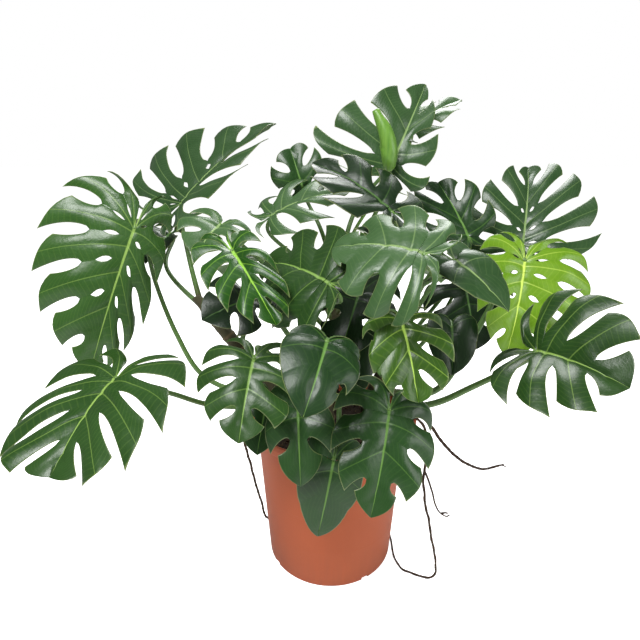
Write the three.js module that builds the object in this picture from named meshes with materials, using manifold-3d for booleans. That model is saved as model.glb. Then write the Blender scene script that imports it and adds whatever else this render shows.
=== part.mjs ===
// A bushy potted monstera: a plastic nursery pot, potting soil, four short canes,
// split heart-shaped leaves on long stalks, and aerial roots over the rim.
// Millimetres, +Z up. The origin is the middle of the pot's underside.

import * as THREE from 'three';
import { mergeVertices } from 'three/addons/utils/BufferGeometryUtils.js';
import Module from 'manifold-3d';

const wasm = await Module();
wasm.setup();

// ---------------------------------------------------------------- driving dimensions

const GAP = 0.3;               // clearance between pieces that touch
const SIDES = 30;              // facets round the pot and the soil

const POT = {
  height: 314,
  rimRadius: 165,              // outside of the collar, so the pot measures 330 across
  collarHeight: 24,
  shoulderRadius: 143,         // the body just under the collar
  baseRadius: 125,
  wall: 3,
  floorTop: 11,
  recess: 5,                   // the raised ring of the underside
  padRadius: 62,               // the flat pad in the middle of the underside
};
const FOOT_NOTCHES = 4;
const FOOT_NOTCH_TURN = 32;       // degrees from +X to the first notch
const FOOT_NOTCH = { width: 16, height: 8 };
const DRAIN_HOLES = 4;
const DRAIN_RADIUS = 6;

const SOIL_TOP = 284;
const CLOD = 3.5;              // how far the soil's top rises and falls

const CANE_SIDES = 8;
const CANE_RADIUS = 14;
const CANE_WAIST = 1.5;        // how much narrower it is between two leaf scars
const CANE_DEPTH = 95;         // how deep a cane stands in the soil

const STALK_SIDES = 5;
const KNEE = 26;               // how far behind the blade the stalk bends over to meet it
const BLADE_THICKNESS = 1.2;
const RIB_DEPTH = 3.2;         // the midrib's ridge under the blade, at the junction
const VEIN_DEPTH = 0.7;        // the lateral veins' ridges
const ROOT_SIDES = 5;

const COLOURS = {
  pot: '#b06a4d',
  soil: '#2c221b',
  cane: '#5c5a3a',
  root: '#4a3526',
  stalk: '#63793f',
  fresh: '#4c7d38',
  dark: '#32502f',
  grey: '#4d6848',
  lime: '#7da82a',
  vivid: '#4f9a27',
  new: '#6fae35',
};

// ---------------------------------------------------------------- small tools

const radians = THREE.MathUtils.degToRad;
const point = (x, y, z) => new THREE.Vector3(x, y, z);

function finish(colour, roughness) {
  return new THREE.MeshStandardMaterial({ color: COLOURS[colour], roughness, metalness: 0 });
}

// A closed mesh with its shared corners merged, ready to be joined or cut.
function welded(geometry) {
  const bare = geometry.index ? geometry.toNonIndexed() : geometry.clone();
  bare.deleteAttribute('normal');
  bare.deleteAttribute('uv');
  return mergeVertices(bare, 1e-3);
}

function solidOf(geometry) {
  const merged = welded(geometry);
  const vertProperties = new Float32Array(merged.attributes.position.array);
  const triVerts = new Uint32Array(merged.index.array);
  return new wasm.Manifold(new wasm.Mesh({ numProp: 3, vertProperties, triVerts }));
}

function geometryOf(solid) {
  const mesh = solid.getMesh();
  const geometry = new THREE.BufferGeometry();
  geometry.setAttribute('position', new THREE.BufferAttribute(mesh.vertProperties, 3));
  geometry.setIndex(new THREE.BufferAttribute(mesh.triVerts, 1));
  geometry.computeVertexNormals();
  return geometry;
}

function cut(body, cutters) {
  return geometryOf(cutters.reduce((rest, tool) => rest.subtract(solidOf(tool)), solidOf(body)));
}

function join(first, second) {
  return geometryOf(solidOf(first).add(solidOf(second)));
}

// A closed round body from a profile of [radius, height] points.
function turned(profile) {
  const spun = new THREE.LatheGeometry(profile.map(([r, z]) => new THREE.Vector2(r, z)), SIDES);
  spun.rotateX(Math.PI / 2);
  return withoutSlivers(welded(spun));
}

// Drops the triangles that merging the corners leaves flat, such as those at a lathe's axis.
function withoutSlivers(geometry) {
  const kept = [];
  const { array } = geometry.index;
  for (let i = 0; i < array.length; i += 3) {
    const [a, b, c] = [array[i], array[i + 1], array[i + 2]];
    if (a !== b && b !== c && a !== c) kept.push(a, b, c);
  }
  geometry.setIndex(kept);
  return geometry;
}

// A round bar along a curve; thickness(u) gives its radius from the start (0) to the end (1).
function bar(curve, steps, sides, thickness) {
  const ring = new THREE.Shape();
  for (let i = 0; i < sides; i += 1) {
    const turn = (i / sides) * 2 * Math.PI;
    const corner = [Math.cos(turn), Math.sin(turn)];
    if (i === 0) ring.moveTo(...corner);
    else ring.lineTo(...corner);
  }
  const geometry = new THREE.ExtrudeGeometry(ring, { steps, extrudePath: curve, bevelEnabled: false });
  const centres = curve.getSpacedPoints(steps);
  const at = geometry.attributes.position;
  for (let i = 0; i < at.count; i += 1) {
    const corner = new THREE.Vector3().fromBufferAttribute(at, i);
    const nearest = nearestIndex(centres, corner);
    corner.sub(centres[nearest]).multiplyScalar(thickness(nearest / steps)).add(centres[nearest]);
    at.setXYZ(i, corner.x, corner.y, corner.z);
  }
  return welded(geometry);
}

function nearestIndex(points, target) {
  let best = 0;
  points.forEach((candidate, i) => {
    if (candidate.distanceTo(target) < points[best].distanceTo(target)) best = i;
  });
  return best;
}

// A seeded random number from -1 to 1, the same on every run.
function wobble(seed) {
  let state = Math.imul(seed + 1013, 0x9e3779b1);
  state = Math.imul(state ^ (state >>> 15), 0x85ebca6b);
  state = Math.imul(state ^ (state >>> 13), 0xc2b2ae35);
  return (((state ^ (state >>> 16)) >>> 0) / 2 ** 32) * 2 - 1;
}

// ---------------------------------------------------------------- pot and soil

function potGeometry() {
  const { height, rimRadius, collarHeight, shoulderRadius, baseRadius } = POT;
  const { wall, floorTop, recess, padRadius } = POT;
  const shoulder = height - collarHeight;
  const shell = turned([
    [0, 0],
    [padRadius, 0],
    [padRadius + 5, recess],
    [baseRadius - 19, recess],
    [baseRadius - 16, 0],
    [baseRadius - 3, 0],
    [baseRadius, 4],
    [shoulderRadius, shoulder],
    [rimRadius - 3, shoulder + 2],
    [rimRadius, height],
    [rimRadius - 4.5, height],
    [rimRadius - 7, shoulder + 6],
    [shoulderRadius - wall, shoulder + 3],
    [baseRadius - wall, floorTop],
    [0, floorTop],
  ]);
  return cut(shell, [...footNotches(), ...drainHoles()]);
}

function footNotches() {
  return Array.from({ length: FOOT_NOTCHES }, (_, i) => {
    const notch = new THREE.BoxGeometry(30, FOOT_NOTCH.width, 2 * FOOT_NOTCH.height);
    notch.translate(POT.baseRadius - 5, 0, 0);
    return notch.rotateZ(radians(FOOT_NOTCH_TURN) + (i / FOOT_NOTCHES) * 2 * Math.PI);
  });
}

function drainHoles() {
  return Array.from({ length: DRAIN_HOLES }, (_, i) => {
    const hole = new THREE.CylinderGeometry(DRAIN_RADIUS, DRAIN_RADIUS, 40, 8);
    hole.rotateX(Math.PI / 2).translate((POT.padRadius + POT.baseRadius) / 2 - 5, 0, 0);
    return hole.rotateZ((i / DRAIN_HOLES) * 2 * Math.PI);
  });
}

// The soil fills the pot and mounds a little round the canes, which stand in plain holes.
function soilGeometry() {
  const inside = (z) => {
    const up = (z - POT.floorTop) / (POT.height - POT.collarHeight + 3 - POT.floorTop);
    return THREE.MathUtils.lerp(POT.baseRadius, POT.shoulderRadius, up) - POT.wall - GAP;
  };
  const bottom = POT.floorTop + GAP;
  const plug = turned([
    [0, bottom],
    [inside(bottom) - 0.2, bottom],
    [inside(SOIL_TOP), SOIL_TOP],
    [105, SOIL_TOP + 1],
    [55, SOIL_TOP + 2],
    [0, SOIL_TOP + 3],
  ]);
  const at = plug.attributes.position;
  for (let i = 0; i < at.count; i += 1) {
    const [x, y, z] = [at.getX(i), at.getY(i), at.getZ(i)];
    const lump = Math.sin(x * 0.071 + 1) * Math.cos(y * 0.083) + 0.6 * Math.sin(x * 0.19 - y * 0.16);
    if (z > SOIL_TOP - 1) at.setZ(i, z + CLOD * 0.6 * lump);
  }
  return cut(plug, Object.values(CANES).map(caneHole));
}

function caneHole(cane) {
  const depth = CANE_DEPTH + GAP;
  const radius = (CANE_RADIUS + GAP) / Math.cos(Math.PI / CANE_SIDES);
  const hole = new THREE.CylinderGeometry(radius, radius, depth + 60, CANE_SIDES);
  hole.rotateX(Math.PI / 2);
  return hole.translate(cane.foot[0], cane.foot[1], SOIL_TOP - depth + (depth + 60) / 2);
}

// ---------------------------------------------------------------- canes

// Each cane stands upright in its hole and leans out above the soil.
const CANES = {
  left: { foot: [-70, 12], bend: [-125, 15, 370], top: [-255, 38, 530] },
  middle: { foot: [4, 58], bend: [6, 60, 380], top: [14, 72, 570] },
  right: { foot: [70, 0], bend: [80, -2, 350], top: [135, 0, 470] },
  front: { foot: [-6, -66], bend: [-8, -70, 340], top: [-20, -84, 425] },
};

function caneCurve(cane) {
  return new THREE.CatmullRomCurve3([
    point(...cane.foot, SOIL_TOP - CANE_DEPTH),
    point(...cane.foot, SOIL_TOP - CANE_DEPTH / 2),
    point(...cane.foot, SOIL_TOP),
    point(...cane.foot, SOIL_TOP + 25),
    point(...cane.bend),
    point(...cane.top),
  ], false, 'centripetal');
}

// Slightly waisted between the leaf scars, and narrower at the growing end.
function caneGeometry(cane, grow = 0) {
  const steps = 10;
  const radius = (u) => {
    const waist = u > 0.45 ? (Math.round(u * steps) % 2) * CANE_WAIST : 0;
    return CANE_RADIUS * (u > 0.9 ? 0.75 : 1) - waist + grow;
  };
  return bar(caneCurve(cane), steps, CANE_SIDES, radius);
}

// ---------------------------------------------------------------- blades

// Half of a blade's outline, from the notch at the stalk round to the tip, as fractions of
// the half width and of the length. Veins of the first part fan out from the junction.
const OUTLINE = new THREE.SplineCurve([
  new THREE.Vector2(0.07, -0.16),
  new THREE.Vector2(0.46, -0.27),
  new THREE.Vector2(0.88, -0.16),
  new THREE.Vector2(1.0, 0.1),
  new THREE.Vector2(0.95, 0.38),
  new THREE.Vector2(0.74, 0.64),
  new THREE.Vector2(0.38, 0.85),
  new THREE.Vector2(0, 1),
]);
const FAN = 0.3;
const COLUMNS = [0, 0.5, 1];            // across a lobe: edge, vein, edge
const ROWS = [0, 0.28, 0.48, 0.75, 1];   // from the midrib out to the margin
const FEW_ROWS = [0, 0.34, 0.68, 1];    // on the smaller and hidden leaves
const WHOLE = 9;                        // a row past the margin, for lobes that never part

// The flat blade: where the vein s (0 at the notch, 1 at the tip) is at t (0 rib, 1 margin).
function flatPoint(leaf, side, s, t) {
  const edge = OUTLINE.getPoint(s);
  if (edge.y < 0) edge.y *= leaf.base;
  else edge.x *= 1 - leaf.taper * edge.y;
  const rib = Math.max(0, (s - FAN) / (1 - FAN)) ** 1.9;
  const bow = 0.26 * (1 - s) * t * (1 - t);
  const x = edge.x * halfWidth(leaf, side) * t;
  const sweep = side > 0 ? leaf.sweep[0] : leaf.sweep[1];
  return [side * x, (rib + (edge.y - rib) * t - bow) * leaf.length + 1.6 * s * sweep * x];
}

function halfWidth(leaf, side) {
  return 0.5 * leaf.width * (side > 0 ? leaf.rightShare : leaf.leftShare);
}

// One corner of a lobe's grid: the gaps between lobes open at the row where they part.
function lobeCorner(leaf, side, lobe, sigma, row) {
  const t = leaf.rows[row];
  const low = leaf.bounds[lobe] + gapAt(leaf, side, lobe, row);
  const high = leaf.bounds[lobe + 1] - gapAt(leaf, side, lobe + 1, row);
  const parted = THREE.MathUtils.lerp(partedAt(leaf, side, lobe), partedAt(leaf, side, lobe + 1), sigma);
  const beyond = Math.max(0, (t - parted) / (1 - parted + 1e-9));
  const reach = -0.14 * (1 - sigma) ** 3 + 0.07 * sigma ** 4;
  const middle = (leaf.bounds[lobe] + leaf.bounds[lobe + 1]) / 2;
  const s = sigma < 0.5 ? low + 2 * sigma * (middle - low) : high + 2 * (1 - sigma) * (middle - high);
  const [x, y] = flatPoint(leaf, side, s, t + beyond * reach);
  const last = lobe === leaf.lobes - 1;
  const arch = leaf.arch * 4 * sigma * (1 - sigma) * t * (last ? 0.4 : 1);
  const lift = last ? 0 : leaf.ruffle * wobble(leaf.seed + lobe * 7 + (side > 0 ? 3 : 0)) * beyond ** 2;
  return bent(leaf, side, x, y, arch + lift);
}

// The row at which a lobe boundary opens, and the fraction of the way out that this is.
function partingRow(leaf, side, k) {
  if (k === 0 || k === leaf.lobes) return WHOLE;
  return (side > 0 ? leaf.partRight : leaf.partLeft)[k - 1];
}

function partedAt(leaf, side, k) {
  return leaf.rows[Math.min(partingRow(leaf, side, k), leaf.rows.length - 1)];
}

function gapAt(leaf, side, k, row) {
  const parting = partingRow(leaf, side, k);
  if (row <= parting) return 0;
  const pitch = (leaf.bounds[k + 1] - leaf.bounds[k - 1]) / 2;
  const from = leaf.rows[parting];
  const tau = (leaf.rows[row] - from) / (1 - from);
  const wide = leaf.gap * pitch * (1.15 - 0.5 * leaf.bounds[k]);
  return 0.5 * wide * (Math.sqrt(tau) - 0.75 * tau ** 1.5) / 0.44;
}

// Bends the flat blade: each half rises from the rib and curls over, and the rib arches.
function bent(leaf, side, x, y, raise) {
  const [rise, curl] = side > 0 ? leaf.right : leaf.left;
  const start = radians(rise);
  const rate = radians(curl || 0.01) / halfWidth(leaf, side);
  const slope = start - rate * Math.abs(x);
  const out = (Math.sin(start) - Math.sin(slope)) / rate - raise * Math.sin(slope);
  const up = (Math.cos(slope) - Math.cos(start)) / rate + raise * Math.cos(slope);
  const turn = radians(leaf.bend || 0.01);
  const tilt = turn * (0.5 - y / leaf.length);
  const along = (leaf.length / turn) * (Math.sin(turn / 2) - Math.sin(tilt));
  const high = (leaf.length / turn) * (Math.cos(tilt) - Math.cos(turn / 2));
  return point(side * out, along - up * Math.sin(tilt), high + up * Math.cos(tilt));
}

// Lays out both halves as one sheet of triangles, with the rib and vein ridges' depth.
function bladeSheet(leaf) {
  const corners = [];
  const ridges = [];
  const faces = [];
  const known = new Map();
  const add = (place, ridge) => {
    const key = place.toArray().map((v) => Math.round(v * 500)).join();
    if (!known.has(key)) {
      known.set(key, corners.push(place) - 1);
      ridges.push(0);
    }
    const index = known.get(key);
    ridges[index] = Math.max(ridges[index], ridge);
    return index;
  };
  const face = (a, b, c) => {
    if (a !== b && b !== c && a !== c) faces.push([a, b, c]);
  };
  [-1, 1].forEach((side) => {
    for (let lobe = 0; lobe < leaf.lobes; lobe += 1) {
      const grid = leaf.rows.map((t, row) => COLUMNS.map((sigma) => {
        const fade = 1 - 0.75 * leaf.bounds[lobe];
        const vein = sigma === 0.5 ? VEIN_DEPTH * (1 - t) : 0;
        return add(lobeCorner(leaf, side, lobe, sigma, row), row === 0 ? RIB_DEPTH * fade ** 2 : vein);
      }));
      for (let row = 0; row + 1 < leaf.rows.length; row += 1) {
        for (let column = 0; column + 1 < COLUMNS.length; column += 1) {
          const [a, b] = [grid[row][column], grid[row + 1][column]];
          const [c, d] = [grid[row + 1][column + 1], grid[row][column + 1]];
          if (side > 0) [[a, b, c], [a, c, d]].forEach((f) => face(...f));
          else [[a, c, b], [a, d, c]].forEach((f) => face(...f));
        }
      }
    }
  });
  return { corners, ridges, faces };
}

// Gives the sheet its thickness: both faces use the same triangles, and the free edges
// get a wall.
function bladeGeometry(leaf) {
  const { corners, ridges, faces } = bladeSheet(leaf);
  const normals = corners.map(() => point(0, 0, 0));
  const edges = new Map();
  faces.forEach(([a, b, c]) => {
    const n = corners[b].clone().sub(corners[a]).cross(corners[c].clone().sub(corners[a]));
    [a, b, c].forEach((i) => normals[i].add(n));
    [[a, b], [b, c], [c, a]].forEach(([i, j]) => edges.set(`${i} ${j}`, [i, j]));
  });
  const count = corners.length;
  const half = BLADE_THICKNESS / 2;
  const upper = corners.map((p, i) => p.clone().addScaledVector(normals[i].normalize(), half));
  const lower = corners.map((p, i) => p.clone().addScaledVector(normals[i], -half - ridges[i]));
  const index = faces.flatMap(([a, b, c]) => [a, b, c, c + count, b + count, a + count]);
  edges.forEach(([i, j]) => {
    if (!edges.has(`${j} ${i}`)) index.push(j, i, i + count, j, i + count, j + count);
  });
  const geometry = new THREE.BufferGeometry();
  const flat = [...upper, ...lower].flatMap((p) => p.toArray());
  geometry.setAttribute('position', new THREE.Float32BufferAttribute(flat, 3));
  geometry.setIndex(index);
  geometry.computeVertexNormals();
  return geometry;
}

// Turns the blade's own axes (x across, y along the rib, z out of its face) into the plant's.
function bladePose(leaf) {
  const along = point(...leaf.tip).sub(point(...leaf.junction)).normalize();
  const face = point(...leaf.face);
  face.addScaledVector(along, -face.dot(along)).normalize();
  const across = along.clone().cross(face);
  return new THREE.Quaternion().setFromRotationMatrix(new THREE.Matrix4().makeBasis(across, along, face));
}

// Fills in what a row of the leaf list leaves out.
function completed(row, index) {
  const chord = point(...row.tip).distanceTo(point(...row.junction));
  const turn = radians(row.bend ?? 30) / 2 || 1e-4;
  const lobes = row.lobes ?? 5;
  const part = row.part ?? 1;
  const bounds = Array.from({ length: lobes + 1 }, (_, k) => (k / lobes) ** 0.92);
  return {
    bend: 30, arch: 7, ruffle: 6, sweep: [0, 0], gap: 0.32, right: [18, 45], left: [18, 45],
    leftShare: 1, rightShare: 1, base: 1, taper: 0, rows: row.fused ? FEW_ROWS : ROWS,
    stalk: [], girth: 4.5, knee: KNEE, spring: 0.12,
    partRight: Array(lobes).fill(part), partLeft: Array(lobes).fill(part),
    ...row,
    lobes, bounds, seed: index * 31, length: (chord * turn) / Math.sin(turn),
  };
}

// ---------------------------------------------------------------- the leaves

// junction: where the stalk meets the blade; face: the way the upper side looks;
// left and right: how each half rises from the rib and then curls over, in degrees;
// sweep: how far the lobes of the right and of the left half lean towards the tip;
// part: the row of the blade where its lobes part; stalk: points on the stalk's way.
const LEAVES = [
  {
    name: 'left_shoulder', colour: 'fresh', cane: 'left', height: 335, lobes: 7, part: 2,
    junction: [-332, -28, 665], tip: [-418, -74, 430], face: [0.25, -0.9, 0.35], width: 275,
    base: 1.15, gap: 0.38, right: [5, 30], left: [-5, 45], leftShare: 0.45, sweep: [0.1, 0.8], girth: 4.8,
    stalk: [[-196, 8, 352], [-250, 8, 386], [-288, 8, 464], [-322, 22, 560]],
  },
  {
    name: 'left_low', colour: 'fresh', cane: 'left', height: 312, lobes: 6, base: 1.7, girth: 5.2,
    junction: [-333, -175, 462], tip: [-365, -328, 393], face: [-0.1, -0.6, 0.8], width: 245,
    right: [5, 40], left: [18, 25], sweep: [0.4, 0.45],
    stalk: [[-214, -45, 345], [-270, -115, 405]],
  },
  {
    name: 'left_top', colour: 'grey', cane: 'left', height: 518, taper: 0.65, lobes: 6, gap: 0.5,
    junction: [-282, 90, 698], tip: [-106, 170, 840], face: [-0.4, -0.75, 0.5], width: 250,
    leftShare: 1.6, rightShare: 0.9, right: [35, 30], left: [0, 25], sweep: [0.7, 0],
    stalk: [[-268, 62, 600]],
  },
  {
    name: 'left_inner', colour: 'dark', cane: 'left', height: 490, fused: true, lobes: 3,
    junction: [-310, 98, 640], tip: [-338, 25, 595], face: [0.3, -0.3, 0.9], width: 92,
    leftShare: 0.4, rightShare: 0.9, stalk: [[-312, 62, 580]],
  },
  {
    name: 'left_deep', colour: 'dark', cane: 'left', height: 430, fused: true, lobes: 3,
    junction: [-150, -10, 537], tip: [-225, -50, 512], face: [0, -0.7, 0.7], width: 135, base: 1.6,
  },
  {
    name: 'left_vivid', colour: 'vivid', cane: 'front', height: 410, lobes: 6, gap: 0.4,
    junction: [-150, -140, 650], tip: [-80, -230, 565], face: [0.1, -0.75, 0.6], width: 132, base: 1.3,
    rightShare: 0.85, leftShare: 0.65, sweep: [0.25, 0.8], stalk: [[-90, -100, 530]],
  },
  {
    name: 'left_veiled', colour: 'grey', cane: 'middle', height: 375, fused: true, lobes: 3,
    junction: [-185, -40, 675], tip: [-215, -110, 635], face: [0.1, -0.6, 0.8], width: 120,
  },
  {
    name: 'left_front', colour: 'fresh', cane: 'front', height: 385, gap: 0.38,
    junction: [-120, -180, 495], tip: [-135, -260, 400], face: [0.0, -0.8, 0.6], width: 165,
    right: [10, 50], left: [5, 50], stalk: [[-80, -110, 455], [-120, -125, 492]],
  },
  {
    name: 'centre_left', colour: 'grey', cane: 'middle', height: 440, part: 2,
    junction: [-10, -190, 615], tip: [-110, -60, 615], face: [-0.2, -0.4, 0.85], width: 190,
    partLeft: [2, 3, 3, 3], left: [0, 75], right: [25, 20], rightShare: 0.9, stalk: [[-50, -50, 550]],
  },
  {
    name: 'front_heart', colour: 'dark', cane: 'front', height: 405, lobes: 3, part: 4, base: 0.6, bend: 55,
    junction: [-12, -256, 551], tip: [-42, -331, 480], face: [0.1, -0.8, 0.5], width: 108,
    partLeft: [4, 3, 4], right: [5, 35], left: [5, 45],
  },
  {
    name: 'front_left', colour: 'dark', cane: 'front', height: 340, fused: true, lobes: 3,
    junction: [-55, -185, 415], tip: [-50, -235, 310], face: [0, -0.8, 0.5], width: 105,
  },
  {
    name: 'rim_left', colour: 'dark', cane: 'front', height: 315, fused: true, lobes: 3,
    junction: [-105, -135, 405], tip: [-120, -190, 335], face: [-0.2, -0.8, 0.5], width: 100,
  },
  {
    name: 'rim_heart', colour: 'dark', cane: 'front', height: 365, lobes: 3, part: 4,
    junction: [0, -205, 335], tip: [-25, -215, 200], face: [0, -1, 0.2], width: 100,
    right: [0, 30], left: [0, 30], stalk: [[8, -140, 405], [8, -180, 385]],
  },
  {
    name: 'front_right', colour: 'dark', cane: 'right', height: 325, part: 2,
    junction: [80, -220, 430], tip: [50, -290, 300], face: [0.1, -0.85, 0.4], width: 155,
    right: [10, 50], left: [10, 50], stalk: [[85, -120, 420]],
  },
  {
    name: 'lime_front', colour: 'lime', cane: 'right', height: 395, base: 0.4, gap: 0.42, girth: 3.2,
    junction: [90, -220, 570], tip: [110, -270, 470], face: [0.1, -0.85, 0.4], width: 115,
    partRight: [4, 3, 4, 3], sweep: [0.2, 0.3], stalk: [[105, -100, 500]],
  },
  {
    name: 'centre_right', colour: 'grey', cane: 'right', height: 435, part: 2, gap: 0.38,
    junction: [110, -235, 666], tip: [-2, -165, 659], face: [0, -0.45, 0.9], width: 210,
    partLeft: [1, 1, 2, 3], left: [0, 85], right: [15, 25], rightShare: 0.75,
  },
  {
    name: 'upper_centre', colour: 'dark', cane: 'middle', height: 480,
    junction: [87, -100, 704], tip: [-35, -14, 770], face: [0.1, -0.5, 0.85], width: 200,
    leftShare: 0.72, rightShare: 0.6,
  },
  {
    name: 'crown', colour: 'grey', cane: 'middle', height: 515, base: 0.8, taper: 0.6, gap: 0.45,
    junction: [98, 3, 767], tip: [162, 80, 900], face: [0.1, -0.85, 0.4], width: 210,
    leftShare: 1.35, rightShare: 0.65, right: [20, 50], left: [10, 30], stalk: [[62, 64, 640], [98, 55, 725]],
  },
  {
    name: 'crown_back', colour: 'grey', cane: 'middle', height: 550, fused: true, lobes: 4,
    junction: [150, 120, 830], tip: [245, 150, 880], face: [-0.2, -0.3, 0.9], width: 110,
    stalk: [[50, 140, 680]],
  },
  {
    name: 'upper_left', colour: 'grey', cane: 'middle', height: 460,
    junction: [-104, 20, 685], tip: [30, 50, 721], face: [0, -0.3, 0.95], width: 170,
    gap: 0.5, sweep: [0.3, 0.3],
  },
  {
    name: 'right_inner', colour: 'dark', cane: 'right', height: 430, fused: true, lobes: 4,
    junction: [245, 30, 645], tip: [195, 80, 735], face: [-0.1, -0.8, 0.5], width: 120,
    gap: 0.5, sweep: [0.3, 0.8],
  },
  {
    name: 'right_top', colour: 'grey', cane: 'right', height: 400, taper: 0.5, lobes: 6, gap: 0.45,
    junction: [355, 55, 626], tip: [395, 175, 759], face: [-0.1, -0.75, 0.65], width: 235,
    rightShare: 1.15, sweep: [0.75, 0.25], stalk: [[200, 110, 470], [290, 125, 570]],
  },
  {
    name: 'lime_right', colour: 'lime', cane: 'right', height: 356, part: 2, lobes: 6, girth: 6.2,
    junction: [340, 0, 605], tip: [310, -45, 442], face: [0, -0.9, 0.35], width: 215,
    rightShare: 0.75, leftShare: 1.15, stalk: [[200, 5, 350], [262, 10, 450]],
  },
  {
    name: 'right_veiled', colour: 'grey', cane: 'right', height: 450, fused: true, lobes: 3, part: 3,
    junction: [174, -160, 640], tip: [238, -215, 579], face: [0.1, -0.6, 0.8], width: 80,
  },
  {
    name: 'right_low', colour: 'fresh', cane: 'right', height: 312,
    junction: [325, -125, 486], tip: [406, -245, 478], face: [0.1, -0.75, 0.65], width: 220,
    leftShare: 1.05, left: [40, 30], sweep: [0.25, 0.1], girth: 6.3,
    stalk: [[190, -32, 342], [254, -50, 385]],
  },
  {
    name: 'right_deep', colour: 'dark', cane: 'right', height: 365, fused: true, lobes: 4,
    junction: [264, 80, 537], tip: [286, 45, 420], face: [-0.2, -0.9, 0.3], width: 165,
    stalk: [[200, 75, 440]],
  },
  {
    name: 'inner_dark', colour: 'dark', cane: 'middle', height: 420, fused: true, lobes: 3, base: 1.5,
    junction: [45, -50, 560], tip: [10, -120, 470], face: [0, -0.8, 0.6], width: 145,
  },
  {
    name: 'inner_low', colour: 'dark', cane: 'right', height: 380, fused: true, lobes: 2, part: 3,
    girth: 3.6, junction: [40, -30, 465], tip: [38, -70, 368], face: [0, -0.9, 0.4], width: 80,
  },
  {
    name: 'inner_right', colour: 'dark', cane: 'right', height: 450, fused: true, lobes: 2, part: 3,
    girth: 3.6, junction: [215, -25, 490], tip: [212, -60, 412], face: [0, -0.9, 0.4], width: 90,
  },
  {
    name: 'upper_dark', colour: 'dark', cane: 'middle', height: 540, fused: true, lobes: 3, gap: 0.45,
    junction: [-54, 118, 723], tip: [-78, 140, 795], face: [-0.1, -0.85, 0.5], width: 105, sweep: [0.5, 0.3],
  },
  {
    name: 'back_left', colour: 'dark', cane: 'middle', height: 350, fused: true, lobes: 4,
    junction: [-130, 200, 570], tip: [-250, 320, 500], face: [-0.4, 0.5, 0.8], width: 220,
  },
  {
    name: 'back_right', colour: 'dark', cane: 'middle', height: 500, fused: true, lobes: 4,
    junction: [160, 220, 560], tip: [280, 340, 480], face: [0.3, 0.5, 0.8], width: 230,
  },
  {
    name: 'back_middle', colour: 'dark', cane: 'middle', height: 400, fused: true, lobes: 4,
    junction: [0, 240, 540], tip: [10, 370, 440], face: [0, 0.6, 0.8], width: 220,
  },
];

// ---------------------------------------------------------------- stalks

// From inside its cane, out through the row's points, to just under the blade.
function stalkCurve(leaf) {
  const root = canePoint(CANES[leaf.cane], leaf.height);
  const turn = bladePose(leaf);
  const face = point(0, 0, 1).applyQuaternion(turn);
  const along = point(0, 1, 0).applyQuaternion(turn);
  const junction = point(...leaf.junction);
  const knee = junction.clone().addScaledVector(face, -leaf.knee).addScaledVector(along, -0.6 * leaf.knee);
  const free = [archedMiddle(root, knee, leaf.spring)];
  const way = leaf.stalk.length ? leaf.stalk.map((p) => point(...p)) : free;
  const under = BLADE_THICKNESS / 2 + RIB_DEPTH + GAP + 0.47 * leaf.girth;
  const end = junction.addScaledVector(face, leaf.fused ? -0.5 : -under);
  return new THREE.CatmullRomCurve3([root, ...way, knee, end], false, 'centripetal');
}

// A stalk with no points of its own rises first and then leans out to its leaf.
function archedMiddle(root, knee, spring) {
  const middle = root.clone().lerp(knee, 0.5);
  middle.z += spring * root.distanceTo(knee);
  return middle;
}

function canePoint(cane, height) {
  const curve = caneCurve(cane);
  const points = curve.getSpacedPoints(60);
  return points.reduce((best, p) => (Math.abs(p.z - height) < Math.abs(best.z - height) ? p : best));
}

// Stout where it clasps the cane, slim towards the blade, with a slight knuckle at the end.
function stalkGeometry(leaf) {
  const curve = stalkCurve(leaf);
  const steps = Math.max(5, Math.round(curve.getLength() / 75));
  const radius = (u) => leaf.girth * (1.45 - 0.75 * Math.sqrt(u) + (u > 0.95 ? 0.05 : 0));
  const whole = bar(curve, steps, STALK_SIDES, radius);
  return cut(whole, [caneGeometry(CANES[leaf.cane], GAP)]);
}

// ---------------------------------------------------------------- aerial roots

// Each grows from its cane at this height, goes over the rim and hangs down outside the pot.
const ROOTS = [
  {
    name: 'root_left', girth: 2.8, cane: 'left', height: 362,
    path: [[-136, 6, 367], [-160, -8, 352], [-172, -12, 318], [-176, -10, 292], [-153, -10, 162],
      [-136, -9, 75], [-134, 20, 40], [-129, 42, 14]],
  },
  {
    name: 'root_right', girth: 2.6, cane: 'right', height: 330,
    path: [[135, 26, 340], [178, 30, 320], [196, 24, 275], [235, 0, 225], [295, -10, 185], [355, 10, 180]],
  },
  {
    name: 'root_floor', girth: 2.6, cane: 'right', height: 320,
    path: [[125, -62, 345], [165, -78, 320], [172, -86, 250], [170, -90, 205], [200, -110, 40],
      [201, -107, 14], [192, -106, 3.2], [145, -84, 2.4], [130, -50, 2.2], [131, -10, 2.2], [127, 36, 2.2]],
  },
];

function rootGeometry(root) {
  const path = [canePoint(CANES[root.cane], root.height), ...root.path.map((p) => point(...p))];
  const curve = new THREE.CatmullRomCurve3(path, false, 'centripetal');
  const steps = Math.round(curve.getLength() / 26);
  const whole = bar(curve, steps, ROOT_SIDES, (u) => root.girth * (1.05 - 0.3 * u));
  return cut(whole, [caneGeometry(CANES[root.cane], GAP)]);
}

// ---------------------------------------------------------------- the new leaf

// The youngest leaf, still rolled up: a slim stalk that swells into a pointed roll.
const NEW_LEAF = {
  stalkRadius: 3,
  rollRadius: 14,
  rollFrom: 0.7,
  path: [[14, 72, 560], [36, 46, 640], [66, 20, 700], [85.5, -2, 744], [91, -24, 774], [84, -27, 812],
    [66, -22, 850]],
};

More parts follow.
